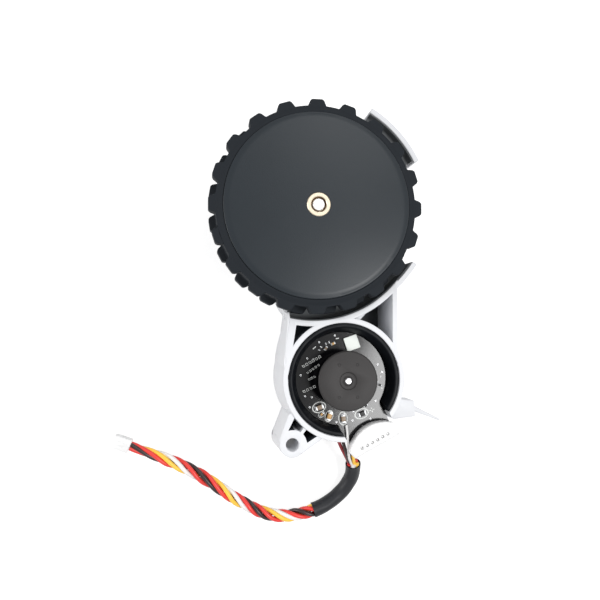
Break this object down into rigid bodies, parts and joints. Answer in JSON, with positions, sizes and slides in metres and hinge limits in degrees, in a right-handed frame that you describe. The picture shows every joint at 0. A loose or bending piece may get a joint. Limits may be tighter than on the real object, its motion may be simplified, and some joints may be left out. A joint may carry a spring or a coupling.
{
  "type": "robot vacuum drive wheel module",
  "caption": "Swing-arm drive unit: geared motor case with wheel arch, lugged drive wheel and wire harness.",
  "frame": {"origin": "axis of the pivot bore at the rear face", "axes": "+Z along the pivot bore and the wheel axle, out of the wheel's face; +Y from the ear towards the wheel"},
  "size_m": [0.1151, 0.1459, 0.031],
  "materials": {
    "case_white": "fine moulded texture, satin",
    "cover_black": "moulded, matte",
    "base_black": "smooth moulded",
    "tread_rubber": "matte moulded rubber",
    "wheel_black": "fine matte texture",
    "brass": "turned",
    "screw_steel": "bright",
    "lamination": "stacked sheet",
    "copper_wire": "enamelled",
    "board_black": "solder mask",
    "nylon_white": "moulded",
    "chip_black": "moulded",
    "pad_white": "soft pad",
    "capacitor_tan": "ceramic",
    "wire_sheath": "soft sheath",
    "sleeve_black": "shrunk sleeve",
    "gear_acetal": "moulded",
    "rotor_grey": "dark plated steel",
    "ferrite": "sintered"
  },
  "bodies": {
    "case": {"gear_housing": "case_white", "rear_cover": "cover_black", "case_screws": "screw_steel", "motor_screws": "screw_steel", "motor_base": "base_black", "bearing_tube": "brass", "stator_core": "lamination", "stator_windings": "copper_wire", "motor_board": "board_black", "board_connector": "nylon_white", "connector_pins": "screw_steel", "driver_chip": "chip_black", "thermal_pad": "pad_white", "board_capacitors": "capacitor_tan", "board_resistors": "chip_black", "front_shaft_bush": "brass", "rear_shaft_bush": "brass", "first_gear_pin": "screw_steel", "second_gear_pin": "screw_steel", "wire_leads": "wire_sheath", "heat_shrink": "sleeve_black", "wire_harness": "wire_sheath", "harness_plug": "nylon_white"},
    "wheel": {"tyre": "tread_rubber", "wheel_hub": "wheel_black", "hub_insert": "brass", "wheel_shaft": "screw_steel", "shaft_clip": "screw_steel", "output_gear": "gear_acetal"},
    "rotor": {"rotor_can": "rotor_grey", "magnet_ring": "ferrite", "rotor_shaft": "screw_steel", "motor_pinion": "brass"},
    "first_gear_body": {"first_gear": "gear_acetal"},
    "second_gear_body": {"second_gear": "gear_acetal"}
  },
  "joints": [
    {"name": "rotor_spin", "type": "hinge", "parent": "case", "child": "rotor", "pos_m": [0.0174, 0.02125, 0.01], "axis": [0, 0, 1], "continuous": true},
    {"name": "first_gear_spin", "type": "hinge", "parent": "case", "child": "first_gear_body", "pos_m": [0.01339, 0.03256, 0.01], "axis": [0, 0, 1], "continuous": true},
    {"name": "second_gear_spin", "type": "hinge", "parent": "case", "child": "second_gear_body", "pos_m": [0.01271, 0.05461, 0.01], "axis": [0, 0, 1], "continuous": true},
    {"name": "wheel_spin", "type": "hinge", "parent": "case", "child": "wheel", "pos_m": [0.0069, 0.0779, 0.01], "axis": [0, 0, 1], "continuous": true}
  ],
  "couplings": [
    {"joint": "first_gear_spin", "follows": "rotor_spin", "ratio": -0.33333},
    {"joint": "second_gear_spin", "follows": "rotor_spin", "ratio": 0.17647},
    {"joint": "wheel_spin", "follows": "rotor_spin", "ratio": -0.053708}
  ]
}
